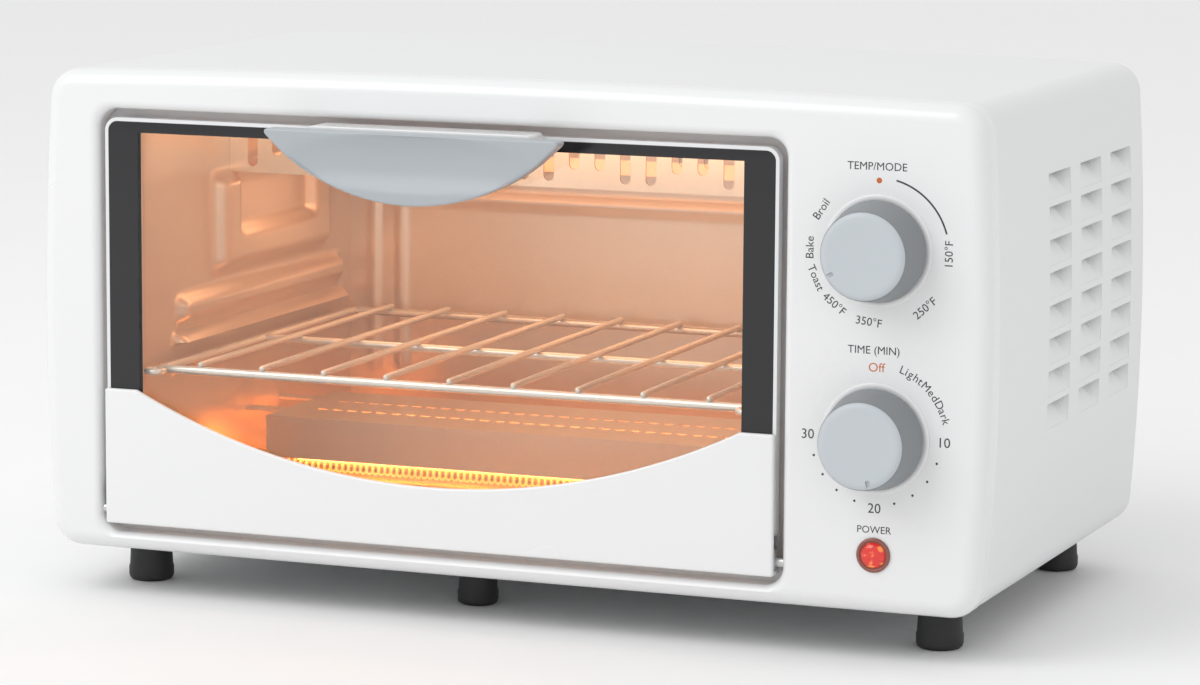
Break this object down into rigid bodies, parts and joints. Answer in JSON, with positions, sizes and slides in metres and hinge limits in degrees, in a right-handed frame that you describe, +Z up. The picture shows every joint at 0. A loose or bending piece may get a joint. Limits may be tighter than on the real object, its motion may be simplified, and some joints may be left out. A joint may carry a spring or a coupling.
{
  "type": "toaster oven",
  "caption": "Countertop toaster oven: white louvred case, drop-down glass door with half-moon handle, wire rack, quartz heaters, two dials, power lamp, rear crumb tray.",
  "frame": {"origin": "on the surface the oven stands on, under the centre of its bounding box", "axes": "+X to the right seen from the front, -Y out of the door, +Z up"},
  "size_m": [0.3689, 0.231, 0.198],
  "materials": {
    "white_gloss_moulding": "gloss",
    "white_painted_steel": "gloss",
    "galvanised_steel": "satin",
    "cavity_steel": "satin",
    "tray_steel": "satin",
    "oven_glass": "clear with black printed border",
    "trim_metal": "satin",
    "grey_handle": "satin",
    "grey_knob": "satin",
    "bright_wire": "bright",
    "quartz": "clear",
    "glowing_coil": "glowing",
    "white_ceramic": "matte",
    "zinc_screw": "zinc",
    "black_rubber": "matte",
    "control_plastic": "matte",
    "red_lens": "gloss",
    "lamp_bezel": "gloss",
    "neon_glass": "clear"
  },
  "bodies": {
    "oven": {"back_panel": "galvanised_steel", "back_screws": "zinc_screw", "base_plate": "galvanised_steel", "cavity_back_wall": "cavity_steel", "cavity_left_wall": "cavity_steel", "cavity_right_wall": "cavity_steel", "cavity_roof": "cavity_steel", "ceramic_end_caps": "white_ceramic", "control_bracket": "galvanised_steel", "control_screws": "zinc_screw", "cord_gland": "black_rubber", "foot_front_centre": "black_rubber", "foot_front_left": "black_rubber", "foot_front_right": "black_rubber", "foot_rear_left": "black_rubber", "foot_rear_right": "black_rubber", "foot_screws": "zinc_screw", "front_fascia": "white_gloss_moulding", "hinge_pin_left": "zinc_screw", "hinge_pin_right": "zinc_screw", "lower_front_heating_coil": "glowing_coil", "lower_front_quartz_tube": "quartz", "lower_heater_guard": "cavity_steel", "lower_rear_heating_coil": "glowing_coil", "lower_rear_quartz_tube": "quartz", "neon_bulb": "neon_glass", "outer_case": "white_painted_steel", "power_lamp_bezel": "lamp_bezel", "power_lamp_lens": "red_lens", "temperature_control": "control_plastic", "temperature_dial_collar": "white_gloss_moulding", "terminal_block": "control_plastic", "timer_bell": "zinc_screw", "timer_control": "control_plastic", "timer_dial_collar": "white_gloss_moulding", "tray_runner_left": "galvanised_steel", "tray_runner_right": "galvanised_steel", "upper_front_heating_coil": "glowing_coil", "upper_front_quartz_tube": "quartz", "upper_heater_guard": "cavity_steel", "upper_rear_heating_coil": "glowing_coil", "upper_rear_quartz_tube": "quartz"},
    "door": {"door_glass": "oven_glass", "door_edge_trim": "trim_metal", "door_lower_panel": "white_gloss_moulding", "door_hinge_bar": "galvanised_steel", "door_handle": "grey_handle", "handle_tab": "white_gloss_moulding", "handle_screws": "zinc_screw", "door_panel_screws": "zinc_screw"},
    "rack": {"wire_rack": "bright_wire", "rack_pull_loops": "bright_wire"},
    "tray": {"crumb_tray": "tray_steel"},
    "temperature_dial": {"temperature_knob": "grey_knob", "temperature_shaft": "zinc_screw"},
    "timer_dial": {"timer_knob": "grey_knob", "timer_shaft": "zinc_screw"}
  },
  "joints": [
    {"name": "door_hinge", "type": "hinge", "parent": "oven", "child": "door", "pos_m": [-0.0249, -0.0915, 0.0326], "axis": [1, 0, 0], "range_deg": [0, 90], "stiffness_Nm_per_rad": 0.12, "springref_deg": -34.38},
    {"name": "rack_slide", "type": "slide", "parent": "oven", "child": "rack", "axis": [0, -1, 0], "range_m": [0, 0.09]},
    {"name": "tray_slide", "type": "slide", "parent": "oven", "child": "tray", "axis": [0, 1, 0], "range_m": [0, 0.17]},
    {"name": "temperature_turn", "type": "hinge", "parent": "oven", "child": "temperature_dial", "pos_m": [0.1423, -0.0955, 0.1448], "axis": [0, 1, 0], "range_deg": [-239, 66]},
    {"name": "timer_turn", "type": "hinge", "parent": "oven", "child": "timer_dial", "pos_m": [0.1423, -0.0955, 0.0795], "axis": [0, 1, 0], "range_deg": [-165, 105]}
  ],
  "couplings": [
    {"joint": "rack_slide", "follows": "door_hinge", "m_per_rad": 0.055}
  ]
}
